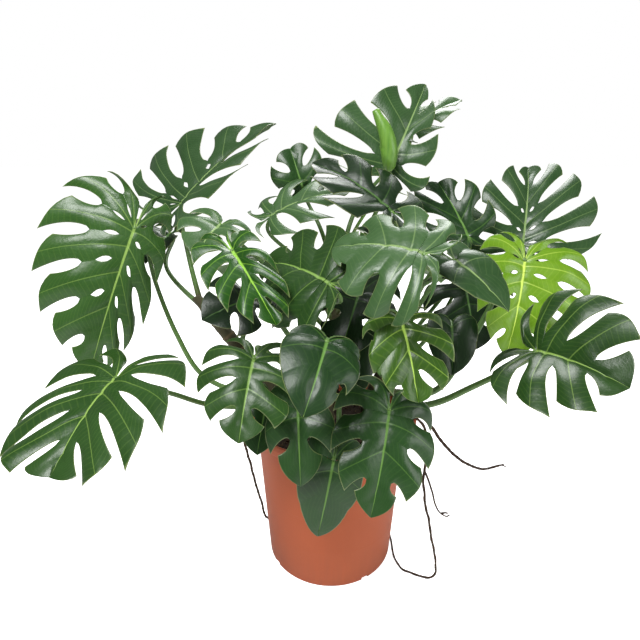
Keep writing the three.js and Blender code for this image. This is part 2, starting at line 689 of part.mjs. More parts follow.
function newLeafGeometry() {
  const curve = new THREE.CatmullRomCurve3(NEW_LEAF.path.map((p) => point(...p)), false, 'centripetal');
  const { stalkRadius, rollRadius, rollFrom } = NEW_LEAF;
  const radius = (u) => {
    const along = Math.max(0, (u - rollFrom) / (1 - rollFrom));
    return stalkRadius + (rollRadius - stalkRadius) * Math.sin(Math.PI * (0.87 * along) ** 0.6);
  };
  return cut(bar(curve, 16, 8, radius), [caneGeometry(CANES.middle, GAP)]);
}

// ---------------------------------------------------------------- assembly

const plant = new THREE.Group();

function place(name, geometry, material, position = [0, 0, 0], turn = new THREE.Quaternion()) {
  const mesh = new THREE.Mesh(geometry, material);
  mesh.name = name;
  mesh.position.set(...position);
  mesh.quaternion.copy(turn);
  plant.add(mesh);
}

place('pot', potGeometry(), finish('pot', 0.55));
place('soil', soilGeometry(), finish('soil', 0.95));
Object.entries(CANES).forEach(([name, cane]) => {
  place(`cane_${name}`, caneGeometry(cane), finish('cane', 0.8));
});
LEAVES.map(completed).forEach((leaf) => {
  const blade = bladeGeometry(leaf);
  if (leaf.fused) {
    blade.applyQuaternion(bladePose(leaf)).translate(...leaf.junction);
    place(`${leaf.name}_leaf`, join(stalkGeometry(leaf), blade), finish(leaf.colour, 0.4));
  } else {
    place(`${leaf.name}_stalk`, stalkGeometry(leaf), finish('stalk', 0.6));
    place(`${leaf.name}_blade`, blade, finish(leaf.colour, 0.4), leaf.junction, bladePose(leaf));
  }
});
place('new_leaf', newLeafGeometry(), finish('new', 0.45));
ROOTS.forEach((root) => place(root.name, rootGeometry(root), finish('root', 0.9)));

export default plant;
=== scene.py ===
import math
import random

import bpy
from mathutils import Matrix, Vector, noise


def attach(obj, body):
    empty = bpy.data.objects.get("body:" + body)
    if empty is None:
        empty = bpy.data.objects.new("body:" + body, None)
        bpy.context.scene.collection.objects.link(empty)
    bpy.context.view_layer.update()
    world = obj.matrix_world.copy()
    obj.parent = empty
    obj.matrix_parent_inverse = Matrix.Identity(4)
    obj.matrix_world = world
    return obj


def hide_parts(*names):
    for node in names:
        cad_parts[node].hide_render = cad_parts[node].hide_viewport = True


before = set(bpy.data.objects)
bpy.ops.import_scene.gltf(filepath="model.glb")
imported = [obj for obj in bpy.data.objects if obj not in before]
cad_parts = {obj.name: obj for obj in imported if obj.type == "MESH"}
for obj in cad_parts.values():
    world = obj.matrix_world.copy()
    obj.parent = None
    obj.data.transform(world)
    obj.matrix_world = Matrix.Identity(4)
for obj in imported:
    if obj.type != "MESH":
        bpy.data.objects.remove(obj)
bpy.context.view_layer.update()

scene = bpy.context.scene

# Viewpoint. The plant is seen from the front and a little above, looking down 18 degrees from
# 0.87 m in front of the pot's middle and 0.79 m over the floor, with a wide lens.
LOOK_DOWN = 18.4
camera = bpy.data.objects.new("camera", bpy.data.cameras.new("camera"))
camera.data.sensor_width = 36
camera.data.lens = 28.125
camera.location = (-0.021, -0.869, 0.785)
camera.rotation_euler = (math.radians(90 - LOOK_DOWN), 0, 0)
scene.collection.objects.link(camera)
scene.camera = camera

# ----------------------------------------------------------- pot
# A grower's tub of terracotta-coloured polypropylene, injection moulded in one piece: a
# tapered wall, a flared collar, a foot ring with four notches and four drain holes. Lengths
# are in millimetres and angles in degrees, here and in all that follows.
POT_PROFILE = [
    (0, 0), (62, 0), (67, 5), (106, 5), (109, 0), (122, 0), (125, 4), (125.4, 10),
    (130, 82.5), (130.1, 83.5), (130.3, 84), (130.2, 84.6), (130.3, 86), (134.7, 158.5),
    (134.8, 159.5), (135, 160), (134.9, 160.6), (135, 162), (142.3, 279.5),
    (142.4, 281), (143, 283.5), (143, 290), (162, 292), (163.6, 302), (164.4, 303), (165, 314),
    (160.5, 314), (158, 296), (140, 293), (122, 11), (0, 11),
]
POT_STEPS = 180
MOULDED_EDGE = 0.7
FOOT_NOTCHES = 4
FOOT_NOTCH_TURN = 32
NOTCH_ENDS = (105, 140)
NOTCH_SIDES = (-8, 8)
DRAIN_HOLES = 4
DRAIN_RADIUS = 6
DRAIN_OUT = 88.5
DRAIN_REACH = 15
POLYPROPYLENE = "#9b4d30"
POLYPROPYLENE_WORN = "#a9593a"
POT_DUST = "#7a4a38"


def linear(code):
    """An sRGB hex colour as the linear colour that a shader takes."""
    parts = [int(code[i:i + 2], 16) / 255 for i in (1, 3, 5)]
    return [c / 12.92 if c <= 0.04045 else ((c + 0.055) / 1.055) ** 2.4 for c in parts] + [1.0]


def feed(tree, made, sockets):
    """Gives each socket of a node a value, or a link from a socket or from a node's result."""
    for socket, value in sockets.items():
        if isinstance(value, bpy.types.Node):
            value = value.outputs[2 if value.type == "MIX" else 0]
        if isinstance(value, bpy.types.NodeSocket):
            tree.links.new(value, made.inputs[socket])
        else:
            made.inputs[socket].default_value = value


def node(tree, kind, sockets, **settings):
    """Adds one node. A Mix is one of colours: 0 is its factor, and 6 and 7 are its colours."""
    made = tree.nodes.new("ShaderNode" + kind)
    if kind == "Mix":
        made.data_type = "RGBA"
    for setting, value in settings.items():
        setattr(made, setting, value)
    feed(tree, made, sockets)
    return made


def surface(name, **sockets):
    """A material whose shader's own sockets hold what is the same all over it."""
    made = bpy.data.materials.new(name)
    made.use_nodes = True
    tree = made.node_tree
    shader = tree.nodes["Principled BSDF"]
    feed(tree, shader, {socket.replace("_", " "): value for socket, value in sockets.items()})
    return made, tree, shader, node(tree, "TexCoord", {}).outputs["Object"]


def per_metre(size):
    """The scale of a pattern whose features are this many millimetres across."""
    return 1000 / size


def piece(name, corners, faces, skins, slot, *nodes):
    """Makes an object from corners in millimetres, and hides the imported parts that it stands for."""
    mesh = bpy.data.meshes.new(name)
    mesh.from_pydata([Vector(corner) / 1000 for corner in corners], [], faces)
    mesh.shade_smooth()
    for skin in skins:
        mesh.materials.append(skin)
    made = bpy.data.objects.new(name, mesh)
    scene.collection.objects.link(made)
    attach(made, "root")
    if nodes:
        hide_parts(*nodes)
    return made


def turned(profile, steps):
    """Corners and faces of a closed round body from a profile of (radius, height)."""
    corners, rings, faces = [], [], []
    for radius, height in profile:
        count = steps if radius else 1
        rings.append([len(corners) + i for i in range(count)])
        for i in range(count):
            turn = 2 * math.pi * i / count
            corners.append((radius * math.cos(turn), radius * math.sin(turn), height))
    for lower, upper in zip(rings, rings[1:]):
        for i in range(steps):
            j = (i + 1) % steps
            ring = [lower[k % len(lower)] for k in (i, j)] + [upper[k % len(upper)] for k in (j, i)]
            faces.append(list(dict.fromkeys(ring)))
    return corners, faces


def settled(made, crease):
    """Keeps the mesh that the object's modifiers give, with its creases sharp."""
    shaped = made.evaluated_get(bpy.context.evaluated_depsgraph_get())
    mesh = bpy.data.meshes.new_from_object(shaped)
    made.modifiers.clear()
    made.data = mesh
    mesh.set_sharp_from_angle(angle=math.radians(crease))


def notch_and_hole_cutters():
    """One mesh of the boxes and rods that the mould's cores leave in the foot."""
    corners, faces = [], []

    def put(shape, sides, turn):
        start = len(corners)
        corners.extend(Matrix.Rotation(turn, 3, "Z") @ Vector(corner) / 1000 for corner in shape)
        faces.extend([start + i for i in side] for side in sides)

    box = [(x, y, z) for x in NOTCH_ENDS for y in NOTCH_SIDES for z in NOTCH_SIDES]
    box_sides = [(0, 1, 3, 2), (4, 6, 7, 5), (0, 4, 5, 1), (2, 3, 7, 6), (0, 2, 6, 4), (1, 5, 7, 3)]
    for i in range(FOOT_NOTCHES):
        put(box, box_sides, math.radians(FOOT_NOTCH_TURN) + i / FOOT_NOTCHES * 2 * math.pi)
    side = [(DRAIN_RADIUS, -DRAIN_REACH), (DRAIN_RADIUS, DRAIN_REACH)]
    rod, rod_sides = turned([(0, -DRAIN_REACH), *side, (0, DRAIN_REACH)], 24)
    rod = [(x + DRAIN_OUT, y, z) for x, y, z in rod]
    for i in range(DRAIN_HOLES):
        put(rod, rod_sides, i / DRAIN_HOLES * 2 * math.pi)
    mesh = bpy.data.meshes.new("foot_cutters")
    mesh.from_pydata(corners, [], faces)
    return bpy.data.objects.new("foot_cutters", mesh)


# Moulded polypropylene: satin, not glossy, slightly uneven in colour, with a fine mould
# texture and a film of dried compost towards the foot.
pot_skin, tree, shader, place = surface("moulded_polypropylene", IOR=1.49, Specular_IOR_Level=0.12)
cloud = node(tree, "TexNoise", {"Vector": place, "Scale": per_metre(90), "Detail": 5.0, "Roughness": 0.6})
grit = node(tree, "TexNoise", {"Vector": place, "Scale": per_metre(3), "Detail": 3.0})
streak_place = node(tree, "Mapping", {"Vector": place, "Scale": (1, 1, 0.08)})
streaks = node(tree, "TexNoise", {"Vector": streak_place, "Scale": per_metre(9), "Detail": 4.0})
low = node(tree, "SeparateXYZ", {0: place}).outputs["Z"]
foot = node(tree, "MapRange", {"Value": low, "From Min": 0.0, "From Max": 0.11,
                               "To Min": 0.6, "To Max": 0.12})
dusty = node(tree, "Math", {0: foot, 1: streaks}, operation="MULTIPLY")
plain = node(tree, "Mix", {0: cloud, 6: linear(POLYPROPYLENE), 7: linear(POLYPROPYLENE_WORN)})
dust = node(tree, "Mix", {0: dusty, 6: plain, 7: linear(POT_DUST)})
rough = node(tree, "MapRange", {"Value": cloud, "To Min": 0.42, "To Max": 0.6})
bump = node(tree, "Bump", {"Height": grit, "Strength": 0.12, "Distance": 0.0006})
feed(tree, shader, {"Base Color": dust, "Roughness": rough, "Normal": bump})

pot = piece("pot_shell", *turned(POT_PROFILE, POT_STEPS), [pot_skin], "pot", "pot")
edges = pot.modifiers.new("moulded_radii", "BEVEL")
edges.width = MOULDED_EDGE / 1000
edges.segments = 2
edges.angle_limit = math.radians(28)
cutters = notch_and_hole_cutters()
scene.collection.objects.link(cutters)
cores = pot.modifiers.new("mould_cores", "BOOLEAN")
cores.operation = "DIFFERENCE"
cores.object = cutters
settled(pot, 40)
bpy.data.objects.remove(cutters)

# ----------------------------------------------------------- soil
# Peat potting compost with bark chips, filled to 30 mm under the rim and mounded a little
# round the canes. It is loose, so its top is all clods and crumbs.
SOIL_TOP = 284
SOIL_WALL = [(0, 11.3), (121, 11.3), (139.2, SOIL_TOP)]
SOIL_RINGS = 39
RING_STEP = 3.6
MOUND = 3
CLOD_SIZE = 26
CLOD_HEIGHT = 5
CHIPS = 420
CHIPS_OUT = 134
CHIP_SIZES = (1.6, 5.5)


def soil_height(x, y):
    """The height of the compost's lumpy top, higher in the middle and low at the wall."""
    out = math.hypot(x, y) / 140
    lumps = noise.fractal(Vector((x / CLOD_SIZE, y / CLOD_SIZE, 3)), 0.9, 2.1, 4)
    return SOIL_TOP + MOUND * (1 - out * out) + CLOD_HEIGHT * lumps


top = [(RING_STEP * i, SOIL_TOP) for i in reversed(range(SOIL_RINGS))]
corners, faces = turned(SOIL_WALL + top, 150)
corners = [(x, y, soil_height(x, y) if z == SOIL_TOP else z) for x, y, z in corners]

# Damp peat: almost black, quite matt, with paler fibres and flecks of bark.
peat, tree, shader, place = surface("damp_peat", Roughness=0.95, IOR=1.33)
crumbs = node(tree, "TexNoise", {"Vector": place, "Scale": per_metre(7), "Detail": 8.0, "Roughness": 0.7})
flecks = node(tree, "TexVoronoi", {"Vector": place, "Scale": per_metre(5)})
pale = node(tree, "MapRange", {"Value": flecks, "From Min": 0.05, "From Max": 0.3,
                               "To Min": 0.5, "To Max": 0.0})
soil_mix = node(tree, "Mix", {0: crumbs, 6: linear("#140f0b"), 7: linear("#3d3026")})
fibres = node(tree, "Mix", {0: pale, 6: soil_mix, 7: linear("#6b5137")})
bump = node(tree, "Bump", {"Height": crumbs, "Strength": 0.9, "Distance": 0.003})
feed(tree, shader, {"Base Color": fibres, "Normal": bump})
piece("compost", corners, faces, [peat], "soil", "soil")

draw = random.Random(11)
corners, faces = [], []
for chip in range(CHIPS):
    turn, out = draw.uniform(0, 2 * math.pi), CHIPS_OUT * math.sqrt(draw.random())
    x, y = out * math.cos(turn), out * math.sin(turn)
    size = draw.uniform(*CHIP_SIZES)
    shape = [Vector((1, 0, 0)), Vector((0, 1, 0)), Vector((-1, 0, 0)), Vector((0, -1, 0)),
             Vector((0, 0, 1)), Vector((0, 0, -1))]
    stretch = size * Vector((draw.uniform(1, 1.9), draw.uniform(0.6, 1), draw.uniform(0.4, 0.8)))
    spin = Matrix.Rotation(draw.uniform(0, 6.3), 3, "Z") @ Matrix.Rotation(draw.uniform(-0.5, 0.5), 3, "X")
    start = len(corners)
    for corner in shape:
        jag = Vector([draw.uniform(0.75, 1.25) for _ in range(3)])
        corners.append(spin @ (corner * jag * stretch) + Vector((x, y, soil_height(x, y) + 0.3 * size)))
    for a, b in ((0, 1), (1, 2), (2, 3), (3, 0)):
        faces += [(start + a, start + b, start + 4), (start + b, start + a, start + 5)]

# Composted bark: dull brown splinters, matt and fibrous.
bark_chip, tree, shader, place = surface("composted_bark", Roughness=0.9, IOR=1.4)
grain = node(tree, "TexNoise", {"Vector": place, "Scale": per_metre(4), "Detail": 5.0})
chip_mix = node(tree, "Mix", {0: grain, 6: linear("#21180f"), 7: linear("#5a4430")})
bump = node(tree, "Bump", {"Height": grain, "Strength": 0.6, "Distance": 0.001})
feed(tree, shader, {"Base Color": chip_mix, "Normal": bump})
chips = piece("bark_chips", corners, faces, [bark_chip], "soil", "soil")
chips.data.polygons.foreach_set("use_smooth", [False] * len(chips.data.polygons))

# ----------------------------------------------------------- canes
# Four short woody stems, green under a corky brown skin, ringed by the scars of fallen
# leaves. They are rooted 95 mm deep in the compost and lean out above it.
CANES = {
    "left": ((-70, 12), (-125, 15, 370), (-255, 38, 530)),
    "middle": ((4, 58), (6, 60, 380), (14, 72, 570)),
    "right": ((70, 0), (80, -2, 350), (135, 0, 470)),
    "front": ((-6, -66), (-8, -70, 340), (-20, -84, 425)),
}
CANE_SIDES = 28
CANE_RADIUS = 14
CANE_DEPTH = 95
SCAR_SPACING = 34
SCAR_WIDTH = 2.6


def through(points, count):
    """Evenly spaced points on a centripetal curve through the given ones."""
    given = [Vector(p) for p in points]
    ends = [2 * given[0] - given[1]] + given + [2 * given[-1] - given[-2]]
    fine = []
    for p0, p1, p2, p3 in zip(ends, ends[1:], ends[2:], ends[3:]):
        d0, d1, d2 = (max((b - a).length, 1e-6) ** 0.5 for a, b in ((p0, p1), (p1, p2), (p2, p3)))
        start = ((p1 - p0) / d0 - (p2 - p0) / (d0 + d1) + (p2 - p1) / d1) * d1
        stop = ((p2 - p1) / d1 - (p3 - p1) / (d1 + d2) + (p3 - p2) / d2) * d1
        for step in range(40):
            w = step / 40
            fine.append(p1 + w * start + w * w * (-3 * p1 + 3 * p2 - 2 * start - stop)
                        + w ** 3 * (2 * p1 - 2 * p2 + start + stop))
    fine.append(given[-1])
    walked = [0.0]
    for a, b in zip(fine, fine[1:]):
        walked.append(walked[-1] + (b - a).length)
    even, k = [], 0
    for i in range(count + 1):
        goal = walked[-1] * i / count
        while k < len(fine) - 2 and walked[k + 1] < goal:
            k += 1
        even.append(fine[k].lerp(fine[k + 1], (goal - walked[k]) / max(walked[k + 1] - walked[k], 1e-9)))
    return even


def swept(path, sides, radius):
    """Corners and faces of a closed tube on a path; radius(u, angle) gives its section."""
    corners, faces = [], []
    last = len(path) - 1
    across = (path[1] - path[0]).orthogonal().normalized()
    for i, centre in enumerate(path):
        way = (path[min(i + 1, last)] - path[max(i - 1, 0)]).normalized()
        across = (across - way * across.dot(way)).normalized()
        over = way.cross(across)
        for k in range(sides):
            turn = 2 * math.pi * k / sides
            arm = across * math.cos(turn) + over * math.sin(turn)
            corners.append(centre + arm * radius(i / last, turn))
    for i in range(last):
        for k in range(sides):
            j = (k + 1) % sides
            faces.append((i * sides + k, i * sides + j, (i + 1) * sides + j, (i + 1) * sides + k))
    faces.append([k for k in reversed(range(sides))])
    faces.append([last * sides + k for k in range(sides)])
    return corners, faces


def cane_path(name, count=120):
    """The line of a cane: upright in the compost, then leaning out."""
    foot, bend, top = CANES[name]
    deep = [(*foot, SOIL_TOP + z) for z in (-CANE_DEPTH, -CANE_DEPTH / 2, 0, 25)]
    return through(deep + [bend, top], count)


# Corky stem: dull olive brown, matt, with fine cracks along it and pale leaf scars.
cork, tree, shader, place = surface("corky_stem", Roughness=0.78, IOR=1.4)
patches = node(tree, "TexNoise", {"Vector": place, "Scale": per_metre(24), "Detail": 6.0, "Roughness": 0.65})
fine_place = node(tree, "Mapping", {"Vector": place, "Scale": (1, 1, 0.25)})
cracks = node(tree, "TexNoise", {"Vector": fine_place, "Scale": per_metre(3), "Detail": 5.0})
ringed = node(tree, "Attribute", {}, attribute_name="scar").outputs["Fac"]
bark = node(tree, "Mix", {0: patches, 6: linear("#1f1d11"), 7: linear("#48452a")})
scars = node(tree, "Mix", {0: ringed, 6: bark, 7: linear("#5f5039")})
bump = node(tree, "Bump", {"Height": cracks, "Strength": 0.5, "Distance": 0.0015})
feed(tree, shader, {"Base Color": scars, "Normal": bump})


def mark(mesh, name, values):
    """Stores one number a corner, which a material can read by its name."""
    mesh.attributes.new(name, "FLOAT", "POINT").data.foreach_set("value", values)


for name in CANES:
    path = cane_path(name)
    length = sum((b - a).length for a, b in zip(path, path[1:]))

    def scar(u):
        """How near this height is to a leaf scar, from 0 to 1."""
        off = (u * length + 9) % SCAR_SPACING - SCAR_SPACING / 2
        return math.exp(-(off / SCAR_WIDTH) ** 2)

    def cane_radius(u, turn):
        """A ridge at each scar, a slim waist between, and a tapered growing end."""
        taper = 1 - 0.3 * max(0, u - 0.8) / 0.2
        rough = noise.noise(Vector((4 * math.cos(turn), 4 * math.sin(turn), u * length / 12)))
        return (CANE_RADIUS - 1.6 + 1.5 * scar(u) + 0.7 * rough) * taper

    made = piece("stem_" + name, *swept(path, CANE_SIDES, cane_radius), [cork], "cane", "cane_" + name)
    mark(made.data, "scar", [scar(i // CANE_SIDES / (len(path) - 1)) for i in range(CANE_SIDES * len(path))])

# ----------------------------------------------------------- blades
# The leaf blades: leathery heart-shaped sheets about a millimetre thick, split between
# their side veins into blunt-ended lobes, on a ridged midrib. Each is fixed to its stalk
# at the notch between its two sides.
THICKNESS = 0.9
RIB_DEPTH = 3.2
VEIN_DEPTH = 0.7
RIPPLE = 4.2
RIPPLE_LENGTH = 48
VEIN_GROOVE = 2.2
VEIN_GROOVE_WIDTH = 5
RIB_GROOVE = 0.6
RIB_GROOVE_WIDTH = 6
RIB_FLAT = 4  # as far out as this, the blade stays in line with its midrib
RIB_FADE = 0.8  # the midrib's colour fades towards the tip
SPLITS_FROM = 0.28
FUSED_SPLITS_FROM = 0.34
CORNERS_PER_MM = 40  # corners nearer than this are one
OUTLINE = [(0.07, -0.16), (0.46, -0.27), (0.88, -0.16), (1.0, 0.1), (0.95, 0.38), (0.74, 0.64), (0.38, 0.85),
           (0, 1)]
FAN = 0.3  # the share of the outline whose veins all start at the notch
VEIN_BOW = 0.26
ACROSS = [0, 0.035, 0.14, 0.3, 0.42, 0.5, 0.58, 0.7, 0.86, 0.965, 1]
OUTWARD = 26
# Each side of a blade rises from the midrib and curls over by the two angles in right or left.
# opens is how far out the splits begin, gap their width, and sweep the lobes' lean to the tip.
PLAIN_LEAF = {
    "lobes": 5, "gap": 0.32, "holes": 0, "base": 1, "taper": 0, "right_share": 1, "left_share": 1,
    "right_opens": None, "left_opens": None, "sweep": (0, 0), "right": (18, 45), "left": (18, 45),
    "bend": 30, "arch": 7, "ruffle": 6, "fused": False, "girth": 4.5, "knee": 26, "spring": 0.12,
    "stalk": (),
}
# The rows of leaves deep in the crown name the darkest greens, which paint in the shade that they lie in.
LEAVES = [
    dict(name="left_shoulder", skin="fresh", cane="left", height=335, lobes=7, opens=0.48, gap=0.38,
         base=1.15, holes=1, girth=4.8, junction=(-332, -28, 665), tip=(-418, -74, 430),
         face=(0.25, -0.9, 0.35), width=275, left_share=0.45, right=(5, 30), left=(-5, 45),
         sweep=(0.1, 0.8), stalk=[(-196, 8, 352), (-250, 8, 386), (-288, 8, 464), (-322, 22, 560)]),
    dict(name="left_low", skin="fresh", cane="left", height=312, lobes=6, base=1.7, girth=5.2,
         junction=(-333, -175, 462), tip=(-365, -328, 393), face=(-0.1, -0.6, 0.8), width=245,
         right=(5, 40), left=(18, 25), sweep=(0.4, 0.45), stalk=[(-214, -45, 345), (-270, -115, 405)]),
    dict(name="left_top", skin="grey", cane="left", height=518, lobes=6, gap=0.5, taper=0.65, holes=1,
         junction=(-282, 90, 698), tip=(-106, 170, 840), face=(-0.4, -0.75, 0.5), width=250,
         right_share=0.9, left_share=1.6, right=(35, 30), left=(0, 25), sweep=(0.7, 0),
         stalk=[(-268, 62, 600)]),
    dict(name="left_inner", skin="dark", shade="painted_shade", cane="left", height=490, fused=True, lobes=3,
         junction=(-310, 98, 640), tip=(-338, 25, 595), face=(0.3, -0.3, 0.9), width=92, right_share=0.9,
         left_share=0.4, stalk=[(-312, 62, 580)]),
    dict(name="left_deep", skin="dark", shade="painted_shade", cane="left", height=430, fused=True, lobes=3,
         base=1.6, junction=(-150, -10, 537), tip=(-225, -50, 512), face=(0, -0.7, 0.7), width=135),
    dict(name="left_vivid", skin="vivid", cane="front", height=410, lobes=6, gap=0.4, base=1.3,
         junction=(-150, -140, 650), tip=(-80, -230, 565), face=(0.1, -0.75, 0.6), width=132,
         right_share=0.85, left_share=0.65, sweep=(0.25, 0.8), stalk=[(-90, -100, 530)]),
    dict(name="left_veiled", skin="grey", cane="middle", height=375, fused=True, lobes=3,
         junction=(-185, -40, 675), tip=(-215, -110, 635), face=(0.1, -0.6, 0.8), width=120),
    dict(name="left_front", skin="fresh", shade="middle", cane="front", height=385, gap=0.38,
         junction=(-120, -180, 495), tip=(-135, -260, 400), face=(0.0, -0.8, 0.6), width=165,
         right=(10, 50), left=(5, 50), stalk=[(-80, -110, 455), (-120, -125, 492)]),
    dict(name="centre_left", skin="grey", shade="middle", cane="middle", height=440, opens=0.48,
         junction=(-10, -190, 615), tip=(-110, -60, 615), face=(-0.2, -0.4, 0.85), width=190,
         right_share=0.9, right=(25, 20), left=(0, 75), left_opens=(0.48, 0.75, 0.75, 0.75),
         stalk=[(-50, -50, 550)]),
    dict(name="front_heart", skin="dark", cane="front", height=405, lobes=3, opens=1, base=0.6, bend=55,
         junction=(-12, -256, 551), tip=(-42, -331, 480), face=(0.1, -0.8, 0.5), width=108, right=(5, 35),
         left=(5, 45), left_opens=(1, 0.75)),
    dict(name="front_left", skin="dark", cane="front", height=340, fused=True, lobes=3,
         junction=(-55, -185, 415), tip=(-50, -235, 310), face=(0, -0.8, 0.5), width=105),
    dict(name="rim_left", skin="dark", cane="front", height=315, fused=True, lobes=3,
         junction=(-105, -135, 405), tip=(-120, -190, 335), face=(-0.2, -0.8, 0.5), width=100),
    dict(name="rim_heart", skin="dark", cane="front", height=365, lobes=3, opens=1,
         junction=(0, -205, 335), tip=(-25, -215, 200), face=(0, -1, 0.2), width=100, right=(0, 30),
         left=(0, 30), stalk=[(8, -140, 405), (8, -180, 385)]),
    dict(name="front_right", skin="dark", cane="right", height=325, opens=0.48,
         junction=(80, -220, 430), tip=(50, -290, 300), face=(0.1, -0.85, 0.4), width=155, right=(10, 50),
         left=(10, 50), stalk=[(85, -120, 420)]),
    dict(name="lime_front", skin="lime", shade="olive", cane="right", height=395, lobes=5, gap=0.42,
         base=0.4, girth=3.2, junction=(90, -220, 570), tip=(110, -270, 470), face=(0.1, -0.85, 0.4),
         width=115, sweep=(0.2, 0.3), right_opens=(1, 0.75, 1, 0.75), stalk=[(105, -100, 500)]),
    dict(name="centre_right", skin="grey", cane="right", height=435, opens=0.48, gap=0.38,
         junction=(110, -235, 666), tip=(-2, -165, 659), face=(0, -0.45, 0.9), width=210, right_share=0.75,
         right=(15, 25), left=(0, 85), left_opens=(0.28, 0.28, 0.48, 0.75)),
    dict(name="upper_centre", skin="dark", shade="painted_shade", cane="middle", height=480,
         junction=(87, -100, 704), tip=(-35, -14, 770), face=(0.1, -0.5, 0.85), width=200, right_share=0.6,
         left_share=0.72),
    dict(name="crown", skin="grey", cane="middle", height=515, gap=0.45, base=0.8, taper=0.6,
         junction=(98, 3, 767), tip=(162, 80, 900), face=(0.1, -0.85, 0.4), width=210, right_share=0.65,
         left_share=1.35, right=(20, 50), left=(10, 30), stalk=[(62, 64, 640), (98, 55, 725)]),
    dict(name="crown_back", skin="grey", cane="middle", height=550, fused=True, lobes=4,
         junction=(150, 120, 830), tip=(245, 150, 880), face=(-0.2, -0.3, 0.9), width=110,
         stalk=[(50, 140, 680)]),
    dict(name="upper_left", skin="grey", cane="middle", height=460, gap=0.5,
         junction=(-104, 20, 685), tip=(30, 50, 721), face=(0, -0.3, 0.95), width=170, sweep=(0.3, 0.3)),
    dict(name="right_inner", skin="dark", cane="right", height=430, fused=True, lobes=4, gap=0.5,
         junction=(245, 30, 645), tip=(195, 80, 735), face=(-0.1, -0.8, 0.5), width=120, sweep=(0.3, 0.8)),
    dict(name="right_top", skin="grey", cane="right", height=400, lobes=6, gap=0.45, taper=0.5, holes=1,
         junction=(355, 55, 626), tip=(395, 175, 759), face=(-0.1, -0.75, 0.65), width=235,
         right_share=1.15, sweep=(0.75, 0.25), stalk=[(200, 110, 470), (290, 125, 570)]),
    dict(name="lime_right", skin="lime", cane="right", height=356, lobes=6, opens=0.48, holes=1, girth=6.2,
         junction=(340, 0, 605), tip=(310, -45, 442), face=(0, -0.9, 0.35), width=215, right_share=0.75,
         left_share=1.15, stalk=[(200, 5, 350), (262, 10, 450)]),
    dict(name="right_veiled", skin="grey", cane="right", height=450, fused=True, lobes=3, opens=1,
         junction=(174, -160, 640), tip=(238, -215, 579), face=(0.1, -0.6, 0.8), width=80),
    dict(name="right_low", skin="fresh", cane="right", height=312, girth=6.3,
         junction=(325, -125, 486), tip=(406, -245, 478), face=(0.1, -0.75, 0.65), width=220,
         left_share=1.05, left=(40, 30), sweep=(0.25, 0.1), stalk=[(190, -32, 342), (254, -50, 385)]),
    dict(name="right_deep", skin="dark", shade="painted_shade", cane="right", height=365, fused=True, lobes=4,
         junction=(264, 80, 537), tip=(286, 45, 420), face=(-0.2, -0.9, 0.3), width=165,
         stalk=[(200, 75, 440)]),
    dict(name="inner_dark", skin="dark", shade="painted_shade", cane="middle", height=420, fused=True, lobes=3,
         base=1.5, junction=(45, -50, 560), tip=(10, -120, 470), face=(0, -0.8, 0.6), width=145),
    dict(name="inner_low", skin="dark", shade="painted_shade", cane="right", height=380, fused=True, lobes=2,
         opens=1, girth=3.6, junction=(40, -30, 465), tip=(38, -70, 368), face=(0, -0.9, 0.4), width=80),
    dict(name="inner_right", skin="dark", shade="painted_shade", cane="right", height=450, fused=True, lobes=2,
         opens=1, girth=3.6, junction=(215, -25, 490), tip=(212, -60, 412), face=(0, -0.9, 0.4), width=90),
    dict(name="upper_dark", skin="dark", cane="middle", height=540, fused=True, lobes=3, gap=0.45,
         junction=(-54, 118, 723), tip=(-78, 140, 795), face=(-0.1, -0.85, 0.5), width=105,
         sweep=(0.5, 0.3)),
    dict(name="back_left", skin="dark", cane="middle", height=350, fused=True, lobes=4,
         junction=(-130, 200, 570), tip=(-250, 320, 500), face=(-0.4, 0.5, 0.8), width=220),
    dict(name="back_right", skin="dark", cane="middle", height=500, fused=True, lobes=4,
         junction=(160, 220, 560), tip=(280, 340, 480), face=(0.3, 0.5, 0.8), width=230),
    dict(name="back_middle", skin="dark", cane="middle", height=400, fused=True, lobes=4,
         junction=(0, 240, 540), tip=(10, 370, 440), face=(0, 0.6, 0.8), width=220),
]


def wobble(seed):
    """A settled random number from -1 to 1."""
    state = (seed + 1013) * 0x9E3779B1 & 0xFFFFFFFF
    state = (state ^ state >> 15) * 0x85EBCA6B & 0xFFFFFFFF
    state = (state ^ state >> 13) * 0xC2B2AE35 & 0xFFFFFFFF
    return (state ^ state >> 16) / 2 ** 32 * 2 - 1


def completed(row, index):
    """Fills in what a row of the leaf list leaves out."""
    leaf = {**PLAIN_LEAF, **row, "seed": index * 31}
    opens = row.get("opens", FUSED_SPLITS_FROM if leaf["fused"] else SPLITS_FROM)
    count = leaf["lobes"] - 1
    leaf["opens"] = {1: leaf["right_opens"] or (opens,) * count, -1: leaf["left_opens"] or (opens,) * count}
    chord = (Vector(leaf["tip"]) - Vector(leaf["junction"])).length
    half_turn = math.radians(leaf["bend"]) / 2
    leaf["length"] = chord * half_turn / math.sin(half_turn)
    leaf["bounds"] = [(k / leaf["lobes"]) ** 0.92 for k in range(leaf["lobes"] + 1)]
    leaf["half"] = {1: leaf["width"] / 2 * leaf["right_share"], -1: leaf["width"] / 2 * leaf["left_share"]}
    return leaf


def outline_at(s):
    """The blade's half outline, from the notch (0) round to the tip (1)."""
    along = min(s, 1) * (len(OUTLINE) - 1)
    k = min(int(along), len(OUTLINE) - 2)
    w = along - k
    p0, p1, p2, p3 = (Vector(OUTLINE[min(max(k + i, 0), len(OUTLINE) - 1)]) for i in (-1, 0, 1, 2))
    start, stop = (p2 - p0) / 2, (p3 - p1) / 2
    return (p1 + w * start + w * w * (-3 * p1 + 3 * p2 - 2 * start - stop)
            + w ** 3 * (2 * p1 - 2 * p2 + start + stop))


